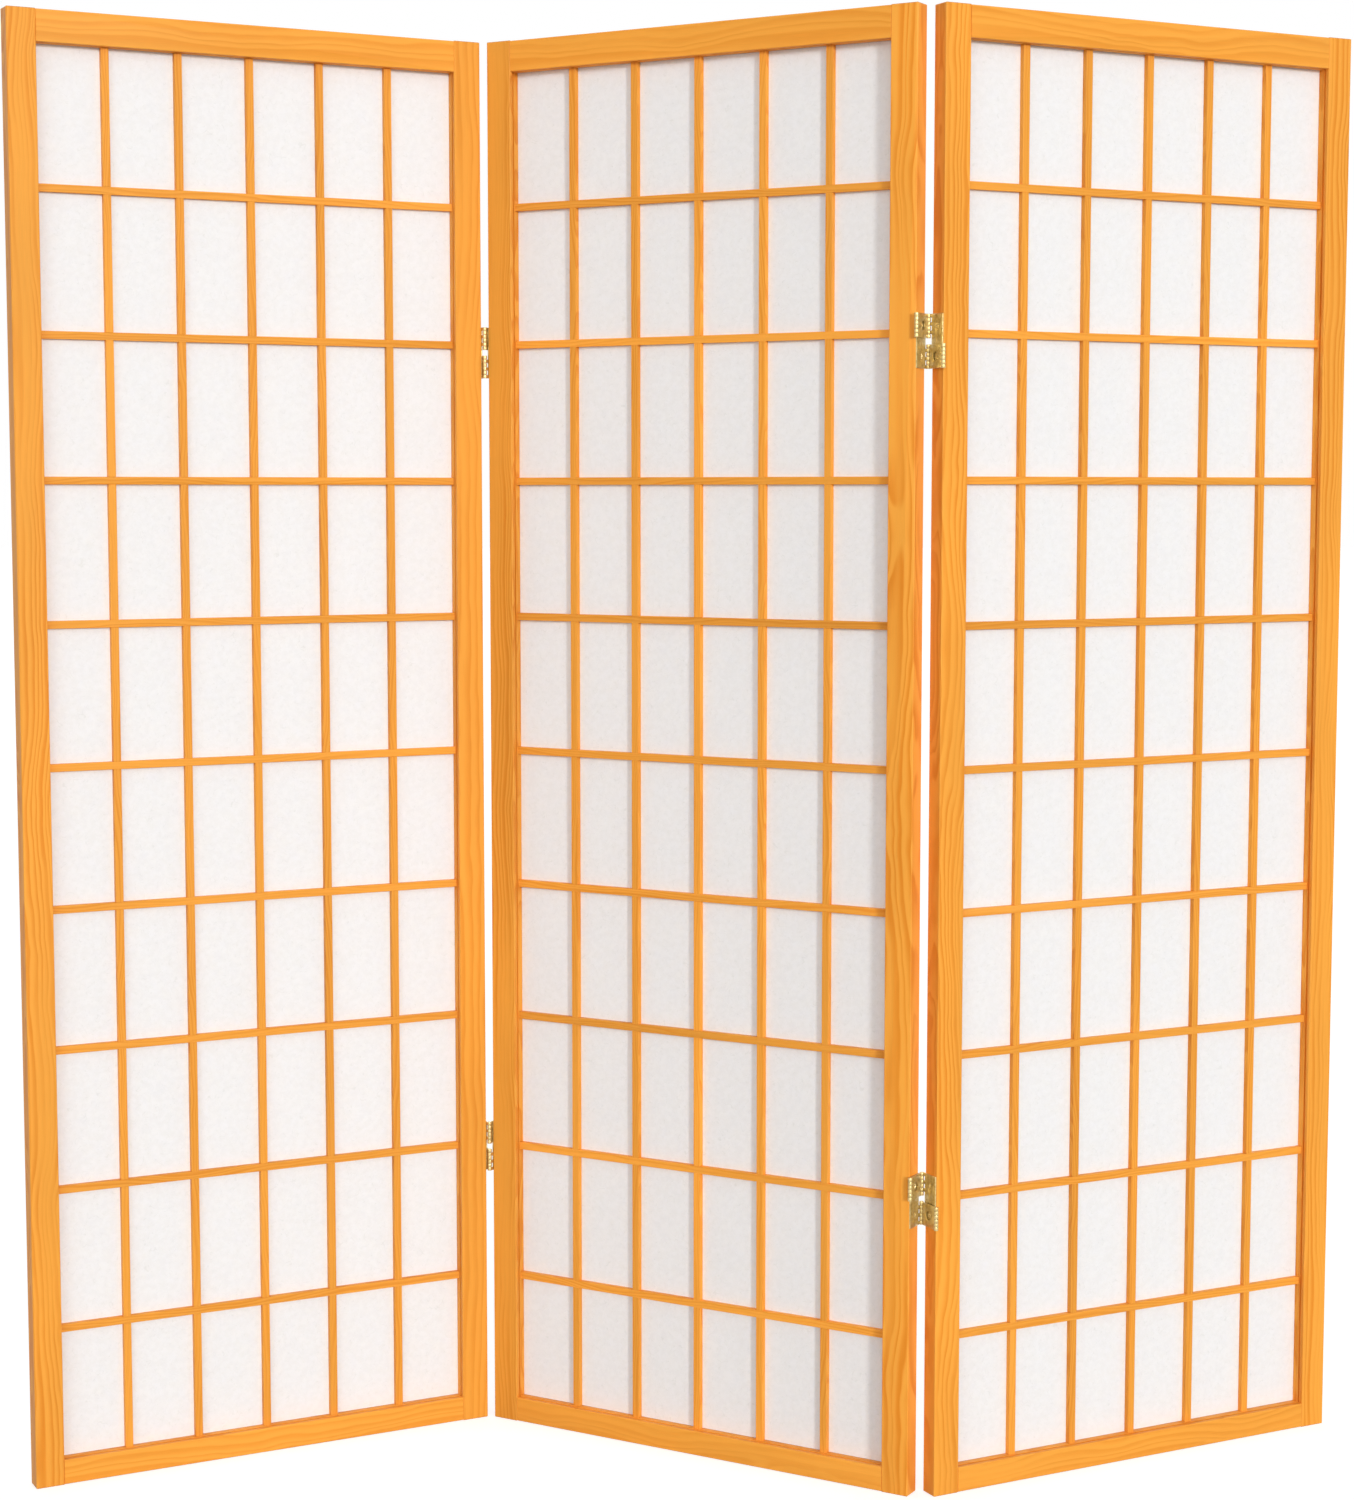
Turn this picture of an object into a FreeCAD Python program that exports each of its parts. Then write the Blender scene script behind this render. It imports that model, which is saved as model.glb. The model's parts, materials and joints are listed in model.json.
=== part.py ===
import FreeCAD, Part
import math
import os

# Three-panel shoji folding screen, standing folded in a zigzag.
# Each panel is a wooden frame (two stiles, two rails) around a half-lapped lattice with a
# sheet of paper behind it. Two brass double-acting hinges join each pair of panels.
# Millimetres. X runs along the screen, Y away from the viewer, Z up, floor at Z = 0.

os.makedirs("parts", exist_ok=True)

# ---------------------------------------------------------------- panel frame
panel_height = 1219.2
panel_width = 411.0
panel_thickness = 17.0
stile_width = 24.0
top_rail_height = 26.0
bottom_rail_height = 21.0
rail_setback = 0.4
arris = 0.5

# blind mortise-and-tenon joints between rails and stiles
tenon_length = 16.0
tenon_thickness = 6.0
tenon_shoulder = 5.0
tenon_to_paper = 1.0
joint_play = 0.1

# ---------------------------------------------------------------- lattice and paper
column_count = 6
row_pitch = 118.2
shortest_last_pane = 60.0
bar_width = 6.4
bar_depth = 5.0
lattice_setback = 7.5
bar_stub = 3.0
paper_thickness = 0.3
paper_tuck = 3.0
shadow_groove_width = 2.2
shadow_groove_depth = 2.0
shadow_groove_lip = 3.9

# ---------------------------------------------------------------- how the screen stands
fold_angle = 57.2
middle_turn = 30.0

# ---------------------------------------------------------------- double-acting hinges
panel_gap = 3.8
pin_stand_off = 2.8
upper_hinge_height = 953.0
lower_hinge_height = 249.0
plate_thickness = 0.9
knuckle_length = 3.0
knuckle_gap = 0.3
knuckles_per_half = 6
hinge_window = 5.0
leaf_margin = 0.3
link_clearance = 0.4
pin_play = 0.05
access_hole_radius = 3.75

# countersunk screw holes in the leaves
screw_hole_mouth = 2.9
screw_hole_neck = 2.0

# flats that stand for a full turn on the small round parts
barrel_sides = 6
bore_sides = 6
hole_sides = 8

# ---------------------------------------------------------------- worked-out places
opening_left = stile_width
opening_right = panel_width - stile_width
opening_bottom = rail_setback + bottom_rail_height
opening_top = panel_height - rail_setback - top_rail_height
opening_width = opening_right - opening_left
opening_height = opening_top - opening_bottom
paper_front = lattice_setback + bar_depth
lap_depth = lattice_setback + bar_depth / 2

column_pitch = (opening_width + bar_width) / column_count
row_count = 1 + int((opening_height - shortest_last_pane) // row_pitch)

vertical_bar_lefts = [opening_left + n * column_pitch - bar_width for n in range(1, column_count)]
horizontal_bar_bottoms = [opening_top - n * row_pitch for n in range(1, row_count)]

knuckle_pitch = knuckle_length + knuckle_gap
half_height = knuckles_per_half * knuckle_pitch - knuckle_gap
hinge_height = 2 * half_height + hinge_window
barrel_radius = panel_gap / 2
knuckle_bore = barrel_radius - plate_thickness
screw_level = (hinge_window + half_height) / 2
front_axis_y = -pin_stand_off
rear_axis_y = panel_thickness + pin_stand_off

ALONG_X = FreeCAD.Vector(1, 0, 0)
ALONG_Z = FreeCAD.Vector(0, 0, 1)


def block(x0, x1, y0, y1, z0, z1):
    """Box between two opposite corners."""
    return Part.makeBox(x1 - x0, y1 - y0, z1 - z0, FreeCAD.Vector(x0, y0, z0))


def flat_sided(start_radius, end_radius, length, base, along, sides):
    """Bar or cone of a few flats, its corners on the stated radii, from a base point."""
    wires = []
    for radius, reach in ((start_radius, 0), (end_radius, length)):
        points = []
        for n in range(sides + 1):
            angle = 2 * math.pi * (n % sides + 0.5) / sides
            across = FreeCAD.Vector(radius * math.cos(angle), radius * math.sin(angle), reach)
            points.append(across)
        wires.append(Part.makePolygon(points))
    solid = Part.makeLoft(wires, True, True)
    solid.Placement = FreeCAD.Placement(base, FreeCAD.Rotation(ALONG_Z, along))
    return solid


def eased_block(x0, x1, y0, y1, z0, z1, long_axis=None):
    """Box with its arrises taken off: all of them, or only those along one axis."""
    solid = block(x0, x1, y0, y1, z0, z1)
    edges = solid.Edges
    if long_axis is not None:
        edges = [edge for edge in edges if abs(edge.tangentAt(0).dot(long_axis)) > 0.5]
    return solid.makeChamfer(arris, edges)


# ---------------------------------------------------------------- wooden frame
def tenon(x0, x1, top, play=0.0):
    """Tenon of the top or bottom rail between two places along the panel, grown by the play."""
    if top:
        low, high = opening_top + tenon_shoulder, panel_height - rail_setback - tenon_shoulder
    else:
        low, high = rail_setback + tenon_shoulder, opening_bottom - tenon_shoulder
    back = paper_front - tenon_to_paper
    front = back - tenon_thickness
    return block(x0, x1, front - play, back + play, low - play, high + play)


def paper_groove(x0, x1, z0, z1):
    """Saw kerf in the frame that takes the paper's edge."""
    return block(x0, x1, paper_front - joint_play, paper_front + paper_thickness + joint_play, z0, z1)


def shadow_groove(x0, x1, z0, z1):
    """Decorative groove behind the front lip of the opening."""
    return block(x0, x1, shadow_groove_lip, shadow_groove_lip + shadow_groove_width, z0, z1)


def bar_seat(x0, x1, z0, z1):
    """Pocket in the frame for the stub end of a lattice bar."""
    front = lattice_setback - joint_play
    back = paper_front + joint_play
    return block(x0, x1, front, back, z0, z1)


def left_stile():
    """Left stile in the panel's own frame."""
    stile = eased_block(0, stile_width, 0, panel_thickness, 0, panel_height)
    kerf = paper_tuck + joint_play
    cuts = [
        paper_groove(stile_width - kerf, stile_width, opening_bottom - kerf, opening_top + kerf),
        shadow_groove(stile_width - shadow_groove_depth, stile_width, opening_bottom, opening_top),
    ]
    for top in (True, False):
        cuts.append(tenon(stile_width - tenon_length - joint_play, stile_width, top, joint_play))
    for bottom in horizontal_bar_bottoms:
        seat_start = stile_width - bar_stub - joint_play
        low = bottom - joint_play
        high = bottom + bar_width + joint_play
        cuts.append(bar_seat(seat_start, stile_width, low, high))
    return stile.cut(cuts)


def right_stile():
    """Right stile: the left one mirrored about the panel's middle."""
    return left_stile().mirror(FreeCAD.Vector(panel_width / 2, 0, 0), ALONG_X)


def rail(top):
    """Top or bottom rail with a blind tenon at each end."""
    low = opening_top if top else rail_setback
    high = panel_height - rail_setback if top else opening_bottom
    body = eased_block(opening_left, opening_right, 0, panel_thickness, low, high, ALONG_X)
    body = body.fuse(tenon(opening_left - tenon_length, opening_right + tenon_length, top))
    kerf = paper_tuck + joint_play
    inner = (low, low + kerf) if top else (high - kerf, high)
    groove = (low, low + shadow_groove_depth) if top else (high - shadow_groove_depth, high)
    stub = bar_stub + joint_play
    seat = (low, low + stub) if top else (high - stub, high)
    cuts = [
        paper_groove(opening_left - kerf, opening_right + kerf, *inner),
        shadow_groove(opening_left, opening_right, *groove),
    ]
    for left in vertical_bar_lefts:
        cuts.append(bar_seat(left - joint_play, left + bar_width + joint_play, *seat))
    return body.cut(cuts).removeSplitter()


# ---------------------------------------------------------------- lattice and paper
def vertical_bars():
    """Upright lattice bars, their front half let out where the cross bars pass."""
    bars = []
    for left in vertical_bar_lefts:
        bottom = opening_bottom - bar_stub
        top = opening_top + bar_stub
        bar = block(left, left + bar_width, lattice_setback, paper_front, bottom, top)
        laps = []
        for low in horizontal_bar_bottoms:
            high = low + bar_width
            laps.append(block(left, left + bar_width, lattice_setback, lap_depth, low, high))
        bars.append(bar.cut(laps))
    return Part.Compound(bars)


def horizontal_bars():
    """Cross bars of the lattice, their rear half let out where the upright bars pass."""
    bars = []
    for low in horizontal_bar_bottoms:
        high = low + bar_width
        start = opening_left - bar_stub
        end = opening_right + bar_stub
        bar = block(start, end, lattice_setback, paper_front, low, high)
        laps = []
        for left in vertical_bar_lefts:
            laps.append(block(left, left + bar_width, lap_depth, paper_front, low, high))
        bars.append(bar.cut(laps))
    return Part.Compound(bars)


def paper():
    """Paper sheet behind the lattice, its four edges in the frame's kerf."""
    left = opening_left - paper_tuck
    right = opening_right + paper_tuck
    bottom = opening_bottom - paper_tuck
    top = opening_top + paper_tuck
    return block(left, right, paper_front, paper_front + paper_thickness, bottom, top)


# ---------------------------------------------------------------- hinges
# Built for a joint lying flat: the gap between the panels is centred on X = 0, the front faces
# lie at Y = 0 and the hinge's middle at Z = 0. The leaf and link below serve the left panel of
# the joint and the upper half; half a turn about the Y axis makes the other leaf and link.
def turned_over(shape):
    """Half a turn about the Y axis through the hinge's middle."""
    copy = shape.copy()
    copy.rotate(FreeCAD.Vector(0, 0, 0), FreeCAD.Vector(0, 1, 0), 180)
    return copy


def over_flats(radius, sides):
    """Corner radius of a few-sided bar whose flats touch a circle from outside."""
    return radius / math.cos(math.pi / sides)


def pin_room(axis_y):
    """Bore for the pins, clear of their corners at any turn, through the whole hinge."""
    radius = over_flats(knuckle_bore, bore_sides)
    base = FreeCAD.Vector(0, axis_y, -hinge_height / 2)
    return flat_sided(radius, radius, hinge_height, base, ALONG_Z, bore_sides)


def knuckle(axis_y, low):
    """One knuckle of the barrel around a pin, before it is bored."""
    radius = over_flats(barrel_radius, barrel_sides)
    base = FreeCAD.Vector(0, axis_y, low)
    return flat_sided(radius, radius, knuckle_length, base, ALONG_Z, barrel_sides)


def knuckle_levels(half_bottom, first):
    """Lower ends of every second knuckle in one half of the hinge."""
    return [half_bottom + n * knuckle_pitch for n in range(first, knuckles_per_half, 2)]


def leaf():
    """Leaf on the left panel: front knuckles in the upper half, rear ones in the lower."""
    outer = -panel_gap / 2
    inner = outer + plate_thickness
    front = leaf_margin
    back = panel_thickness - leaf_margin
    pieces = []
    for low in knuckle_levels(hinge_window / 2, 1):
        pieces.append(knuckle(front_axis_y, low))
        pieces.append(block(outer, inner, front_axis_y, front, low, low + knuckle_length))
    for low in knuckle_levels(-hinge_height / 2, 0):
        pieces.append(knuckle(rear_axis_y, low))
        pieces.append(block(outer, inner, back, rear_axis_y, low, low + knuckle_length))
    plate = block(outer, inner, front, back, -hinge_height / 2, hinge_height / 2)
    whole = plate.fuse(pieces)
    holes = [pin_room(front_axis_y), pin_room(rear_axis_y)]
    for level in (-screw_level, screw_level):
        neck = FreeCAD.Vector(outer, panel_thickness / 2, level)
        hole = flat_sided(screw_hole_neck, screw_hole_mouth, plate_thickness, neck, ALONG_X, hole_sides)
        holes.append(hole)
    return whole.cut(holes).removeSplitter()


def link():
    """Upper link plate: it joins the left leaf at the front pin and the right one at the rear."""
    half = plate_thickness / 2
    low_end = hinge_window / 2
    high_end = low_end + half_height
    front = front_axis_y + barrel_radius + link_clearance
    back = rear_axis_y - barrel_radius - link_clearance
    wall_middle = (barrel_radius + knuckle_bore) / 2
    pieces = []
    for low in knuckle_levels(low_end, 0):
        high = low + knuckle_length
        pieces.append(knuckle(front_axis_y, low))
        pieces.append(block(-half, half, front_axis_y + wall_middle, front, low, high))
    for low in knuckle_levels(low_end, 0):
        high = low + knuckle_length
        pieces.append(knuckle(rear_axis_y, low))
        pieces.append(block(-half, half, back, rear_axis_y - wall_middle, low, high))
    plate = block(-half, half, front, back, low_end, high_end)
    whole = plate.fuse(pieces)
    start = FreeCAD.Vector(-half, panel_thickness / 2, screw_level)
    radius = access_hole_radius
    access_hole = flat_sided(radius, radius, plate_thickness, start, ALONG_X, hole_sides)
    holes = [access_hole, pin_room(front_axis_y), pin_room(rear_axis_y)]
    return whole.cut(holes).removeSplitter()


def pin(axis_y, upper):
    """Pin through one half barrel."""
    low = hinge_window / 2 if upper else -hinge_height / 2
    radius = knuckle_bore - pin_play
    return flat_sided(radius, radius, half_height, FreeCAD.Vector(0, axis_y, low), ALONG_Z, bore_sides)


# ---------------------------------------------------------------- where the panels stand
def turn(x, y, degrees):
    """Point turned about the origin, seen from above."""
    angle = math.radians(degrees)
    return (x * math.cos(angle) - y * math.sin(angle), x * math.sin(angle) + y * math.cos(angle))


def stand_on_axis(local_axis, world_axis, degrees):
    """Place of a panel turned by an angle, with one of its hinge axes on a world point."""
    dx, dy = turn(local_axis[0], local_axis[1], degrees)
    return (world_axis[0] - dx, world_axis[1] - dy, degrees)


def panel_point(place, x, y):
    """World point of a point in a panel's own frame."""
    dx, dy = turn(x, y, place[2])
    return (place[0] + dx, place[1] + dy)


half_gap = panel_gap / 2
middle = (0.0, 0.0, -middle_turn)
left_axis = panel_point(middle, -half_gap, front_axis_y)
right_axis = panel_point(middle, panel_width + half_gap, rear_axis_y)
side_turn = fold_angle - middle_turn
left = stand_on_axis((panel_width + half_gap, front_axis_y), left_axis, side_turn)
right = stand_on_axis((-half_gap, rear_axis_y), right_axis, side_turn)

footprint = []
for panel_place in (left, middle, right):
    for corner_x in (0, panel_width):
        for corner_y in (0, panel_thickness):
            footprint.append(panel_point(panel_place, corner_x, corner_y))
centre_x = (min(p[0] for p in footprint) + max(p[0] for p in footprint)) / 2
centre_y = (min(p[1] for p in footprint) + max(p[1] for p in footprint)) / 2


def placed(shape, place, x=0.0, z=0.0):
    """Copy of a shape moved within its panel, then to where the panel stands."""
    copy = shape.copy()
    copy.translate(FreeCAD.Vector(x, 0, z))
    copy.rotate(FreeCAD.Vector(0, 0, 0), FreeCAD.Vector(0, 0, 1), place[2])
    copy.translate(FreeCAD.Vector(place[0] - centre_x, place[1] - centre_y, 0))
    return copy


def write(name, shapes):
    """Write one node; several like solids go in as a group."""
    shape = shapes[0] if len(shapes) == 1 else Part.Compound(shapes)
    shape.exportStep("parts/" + name + ".step")


# ---------------------------------------------------------------- panels
for panel_name, place in (("left_panel", left), ("middle_panel", middle), ("right_panel", right)):
    write(panel_name + "_left_stile", [placed(left_stile(), place)])
    write(panel_name + "_right_stile", [placed(right_stile(), place)])
    write(panel_name + "_top_rail", [placed(rail(True), place)])
    write(panel_name + "_bottom_rail", [placed(rail(False), place)])
    write(panel_name + "_vertical_bars", [placed(vertical_bars(), place)])
    write(panel_name + "_horizontal_bars", [placed(horizontal_bars(), place)])
    write(panel_name + "_paper", [placed(paper(), place)])

# ---------------------------------------------------------------- hinges between them
hinge_heights = (upper_hinge_height, lower_hinge_height)
left_leaf = leaf()
right_leaf = turned_over(left_leaf)
upper_link = link()
lower_link = turned_over(upper_link)

# Each joint: the side panel and where the joint's middle lies in it, its leaf, the same for the
# middle panel, and the axis of the lower pin that turns with the side panel.
before = -half_gap
beyond = panel_width + half_gap
joints = {
    "left_hinge": (left, beyond, left_leaf, before, right_leaf, rear_axis_y),
    "right_hinge": (right, before, right_leaf, beyond, left_leaf, front_axis_y),
}
for hinge_name, (side, side_x, side_leaf, mid_x, mid_leaf, side_pin_y) in joints.items():
    mid_pins = [pin(front_axis_y, True), pin(rear_axis_y, True)]
    mid_pins.append(pin(front_axis_y + rear_axis_y - side_pin_y, False))
    groups = {
        "_side_leaves": (side, side_x, [side_leaf]),
        "_lower_links": (side, side_x, [lower_link]),
        "_side_pins": (side, side_x, [pin(side_pin_y, False)]),
        "_middle_leaves": (middle, mid_x, [mid_leaf]),
        "_upper_links": (middle, mid_x, [upper_link]),
        "_middle_pins": (middle, mid_x, mid_pins),
    }
    for group, (place, x, shapes) in groups.items():
        write(hinge_name + group, [placed(s, place, x, z) for s in shapes for z in hinge_heights])
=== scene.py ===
# Three-panel shoji folding screen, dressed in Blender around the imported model.
# Metres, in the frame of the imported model: X along the screen, +Y away from the viewer, Z up.

import bmesh
import bpy
import json
import math
import random
from mathutils import Matrix, Vector


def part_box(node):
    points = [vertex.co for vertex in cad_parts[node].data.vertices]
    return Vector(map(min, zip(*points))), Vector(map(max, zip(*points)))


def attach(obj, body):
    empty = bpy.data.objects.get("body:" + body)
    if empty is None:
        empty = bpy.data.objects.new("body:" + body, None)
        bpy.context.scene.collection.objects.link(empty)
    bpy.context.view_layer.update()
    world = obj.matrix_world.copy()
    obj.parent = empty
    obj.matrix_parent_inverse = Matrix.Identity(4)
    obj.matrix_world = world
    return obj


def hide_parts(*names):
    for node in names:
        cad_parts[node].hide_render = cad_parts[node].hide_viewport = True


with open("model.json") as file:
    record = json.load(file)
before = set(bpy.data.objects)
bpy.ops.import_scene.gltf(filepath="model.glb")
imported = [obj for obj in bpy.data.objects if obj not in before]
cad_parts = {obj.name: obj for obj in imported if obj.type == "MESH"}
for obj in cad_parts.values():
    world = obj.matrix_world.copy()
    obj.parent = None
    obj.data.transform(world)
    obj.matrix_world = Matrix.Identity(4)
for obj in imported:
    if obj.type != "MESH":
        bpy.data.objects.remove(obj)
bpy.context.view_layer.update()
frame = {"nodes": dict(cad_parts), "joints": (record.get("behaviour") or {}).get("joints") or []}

# ------------------------------------------------------------------ camera
# The photograph is a studio view from a little above half the screen's height,
# nearly square to the row of panels, through a lens a bit longer than normal.
lens_mm = 67.916
sensor_mm = 36.0
eye = Vector((-0.0175, -2.3968, 0.8317))
look_down = math.radians(5.2)

camera_data = bpy.data.cameras.new("camera")
camera_data.sensor_width = sensor_mm
camera_data.lens = lens_mm
camera = bpy.data.objects.new("camera", camera_data)
camera.location = eye
camera.rotation_euler = (math.radians(90) - look_down, 0, 0)
bpy.context.collection.objects.link(camera)
bpy.context.scene.camera = camera

# ------------------------------------------------------------------ stiles
# The two uprights of each panel are planed softwood, 24 by 17 mm, sawn from slightly wavy
# boards, stained honey and lacquered satin. Their arrises are eased with a block of sandpaper,
# and they stand on their square-cut lower ends.
side_turn = math.radians(27.2)
middle_turn = math.radians(-30.0)
panel_turns = {"left_panel": side_turn, "middle_panel": middle_turn, "right_panel": side_turn}

honey_light = (0.950, 0.399, 0.055, 1)
honey_dark = (0.800, 0.252, 0.018, 1)
honey_rubbed = (0.935, 0.440, 0.080, 1)
honey_end = (0.480, 0.130, 0.012, 1)
# Painted shade for the corner where a rail meets the paper.
honey_painted_shade = (0.380, 0.170, 0.055, 1)
honey_range = (0.92, 1.06)
fibre_range = (0.955, 1.03)
lacquer_specular = 0.13
lacquer_roughness = (0.38, 0.52)
grain_relief = 0.00006
grain_strength = 0.25
frame_arris = 0.0003

# Growth rings: how they sway along the board, how uneven they are, where the dark late wood
# lies within a ring, and where the rings fade.
slow_sway = (8.0, 8.0, 4.2)
quick_sway = (40.0, 40.0, 15.0)
quick_share = 0.20
sway_in_depth = 0.6
uneven_scale = 0.37
uneven_rings = 2.2
late_wood_rise = (0.20, 0.86)
late_wood_fall = (1.0, 0.84)
late_wood_relief = -0.5
faded_patches = (60.0, 60.0, 3.0)
faded_range = (0.25, 0.62)
fibre_scale = (2600.0, 2600.0, 55.0)
tone_scale = (22.0, 22.0, 3.5)

# Rubbed arrises, dark sawn ends, and painted shade in the corner against the paper.
rubbed_patches = (300.0, 300.0, 90.0)
rubbed_reach = 0.0026
rubbed_full = 0.0002
rubbed_share = 0.2
sawn_end = (0.0006, 0.0003)
sawn_share = 0.6
painted_shade_line = (0.0028, 0.0006)
painted_shade_share = 0.45

# Each board is cut from another part of the tree, and each bar of a row from another again.
board_step = 5.3
bar_chance_step = 7.3
bar_step = 9.0
bar_stain_range = (0.90, 1.07)


def put(tree, kind, inputs=(), **settings):
    """One node, with its settings, and its inputs as values or links."""
    node = tree.nodes.new(kind)
    for name, value in settings.items():
        setattr(node, name, value)
    for key, value in dict(inputs).items():
        if isinstance(value, bpy.types.NodeSocket):
            tree.links.new(value, node.inputs[key])
        else:
            node.inputs[key].default_value = value
    return node


def sum_of(tree, operation, *terms):
    """Value of a Math node."""
    node = put(tree, "ShaderNodeMath", dict(enumerate(terms)), operation=operation)
    return node.outputs[0]


def vector_of(tree, operation, *terms):
    """Vector of a Vector Math node."""
    node = put(tree, "ShaderNodeVectorMath", dict(enumerate(terms)), operation=operation)
    return node.outputs[0]


def axes_of(tree, vector):
    """The three parts of a vector."""
    return put(tree, "ShaderNodeSeparateXYZ", {0: vector}).outputs


def eased(tree, value, start, end):
    """0 before start, 1 after end, smooth between."""
    ends = {"Value": value, "From Min": start, "From Max": end}
    return put(tree, "ShaderNodeMapRange", ends, interpolation_type="SMOOTHSTEP").outputs[0]


def ranged(tree, value, low, high, start=0.0, end=1.0):
    """low before start, high after end, straight between."""
    ends = {"Value": value, "From Min": start, "From Max": end, "To Min": low, "To Max": high}
    return put(tree, "ShaderNodeMapRange", ends).outputs[0]


def noise_of(tree, place, scale, detail=2.0, roughness=0.5):
    """Plain noise, 0 to 1, at a place."""
    inputs = {"Vector": place, "Scale": scale, "Detail": detail, "Roughness": roughness}
    return put(tree, "ShaderNodeTexNoise", inputs).outputs[0]


def drawn_out(tree, place, scales, detail=2.0, roughness=0.5):
    """Plain noise, 0 to 1, with a scale of its own along each axis."""
    return noise_of(tree, vector_of(tree, "MULTIPLY", place, scales), 1.0, detail, roughness)


def blended(tree, share, first, second):
    """Two colours mixed by a share."""
    node = put(tree, "ShaderNodeMix", data_type="RGBA")
    for index, value in ((0, share), (6, first), (7, second)):
        if isinstance(value, bpy.types.NodeSocket):
            tree.links.new(value, node.inputs[index])
        else:
            node.inputs[index].default_value = value
    return node.outputs[2]


def new_group(name, inputs, outputs):
    """Shader node group with named sockets."""
    tree = bpy.data.node_groups.new(name, "ShaderNodeTree")
    for label, kind, value in inputs:
        socket = tree.interface.new_socket(label, in_out="INPUT", socket_type="NodeSocket" + kind)
        if value is not None:
            socket.default_value = value
    for label, kind in outputs:
        tree.interface.new_socket(label, in_out="OUTPUT", socket_type="NodeSocket" + kind)
    given = tree.nodes.new("NodeGroupInput").outputs
    result = tree.nodes.new("NodeGroupOutput").inputs
    return tree, given, result


def growth_rings():
    """Growth rings, fibres and slow changes of tone in a board whose length lies along Z."""
    tree, given, result = new_group(
        "growth rings",
        [("Place", "Vector", None), ("Ring Width", "Float", 0.003), ("Heart", "Float", 0.05),
         ("Wander", "Float", 0.01)],
        [("Ring", "Float"), ("Fibre", "Float"), ("Tone", "Float"), ("Height", "Float")])
    place = given["Place"]
    slow = sum_of(tree, "SUBTRACT", drawn_out(tree, place, slow_sway, 1.0), 0.5)
    quick = sum_of(tree, "SUBTRACT", drawn_out(tree, place, quick_sway), 0.5)
    wander = sum_of(tree, "MULTIPLY_ADD", quick, quick_share, slow)
    wander = sum_of(tree, "MULTIPLY", wander, given["Wander"])
    axes = axes_of(tree, place)
    across = sum_of(tree, "ADD", sum_of(tree, "ADD", axes[0], given["Heart"]), wander)
    deep = sum_of(tree, "MULTIPLY_ADD", wander, sway_in_depth, axes[1])
    squares = sum_of(tree, "MULTIPLY_ADD", across, across, sum_of(tree, "MULTIPLY", deep, deep))
    radius = sum_of(tree, "SQRT", squares)
    count = sum_of(tree, "DIVIDE", radius, given["Ring Width"])
    uneven = put(tree, "ShaderNodeTexNoise", {"W": count, "Scale": uneven_scale, "Detail": 1.0},
                 noise_dimensions="1D").outputs[0]
    part = sum_of(tree, "FRACT", sum_of(tree, "MULTIPLY_ADD", uneven, uneven_rings, count))
    late = sum_of(tree, "MULTIPLY", eased(tree, part, *late_wood_rise),
                  eased(tree, part, *late_wood_fall))
    strength = eased(tree, drawn_out(tree, place, faded_patches), *faded_range)
    fibre = drawn_out(tree, place, fibre_scale, 3.0, 0.6)
    tree.links.new(sum_of(tree, "MULTIPLY", late, strength), result["Ring"])
    tree.links.new(fibre, result["Fibre"])
    tree.links.new(drawn_out(tree, place, tone_scale), result["Tone"])
    tree.links.new(sum_of(tree, "MULTIPLY_ADD", late, late_wood_relief, fibre), result["Height"])
    return tree


def board_edges():
    """How near a point of a board lies to an arris, and whether it is on a sawn end."""
    tree, given, result = new_group(
        "board edges",
        [("Place", "Vector", None), ("Centre", "Vector", (0, 0, 0)), ("Half", "Vector", (0, 0, 0))],
        [("Edge", "Float"), ("End", "Float")])
    away = vector_of(tree, "ABSOLUTE", vector_of(tree, "SUBTRACT", given["Place"], given["Centre"]))
    room = axes_of(tree, vector_of(tree, "SUBTRACT", given["Half"], away))
    low = sum_of(tree, "MINIMUM", room[0], room[1])
    high = sum_of(tree, "MAXIMUM", room[0], room[1])
    second = sum_of(tree, "MAXIMUM", low, sum_of(tree, "MINIMUM", high, room[2]))
    patchy = drawn_out(tree, given["Place"], rubbed_patches, 3.0)
    reach = sum_of(tree, "MULTIPLY", patchy, rubbed_reach)
    tree.links.new(eased(tree, second, reach, rubbed_full), result["Edge"])
    tree.links.new(eased(tree, room[2], *sawn_end), result["End"])
    return tree


rings_group = growth_rings()
edges_group = board_edges()


def panel_of(node_name):
    """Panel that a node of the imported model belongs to."""
    return node_name[:node_name.index("_panel")] + "_panel"


def board_box(node_name, upright):
    """Centre and half size of a board in its own frame, with its length along Z."""
    turn = panel_turns[panel_of(node_name)]
    points = []
    for vertex in frame["nodes"][node_name].data.vertices:
        p = Matrix.Rotation(-turn, 3, "Z") @ vertex.co
        points.append(p if upright else Vector((p.z, p.y, p.x)))
    low = Vector([min(p[axis] for p in points) for axis in range(3)])
    high = Vector([max(p[axis] for p in points) for axis in range(3)])
    return (low + high) / 2, (high - low) / 2


def board_place(tree, turn, upright):
    """Place in a board's own frame, with its length along Z."""
    coords = put(tree, "ShaderNodeTexCoord").outputs["Object"]
    place = put(tree, "ShaderNodeVectorRotate", {"Vector": coords, "Angle": -turn},
                rotation_type="Z_AXIS").outputs[0]
    if upright:
        return place
    axes = axes_of(tree, place)
    return put(tree, "ShaderNodeCombineXYZ", {0: axes[2], 1: axes[1], 2: axes[0]}).outputs[0]


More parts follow.
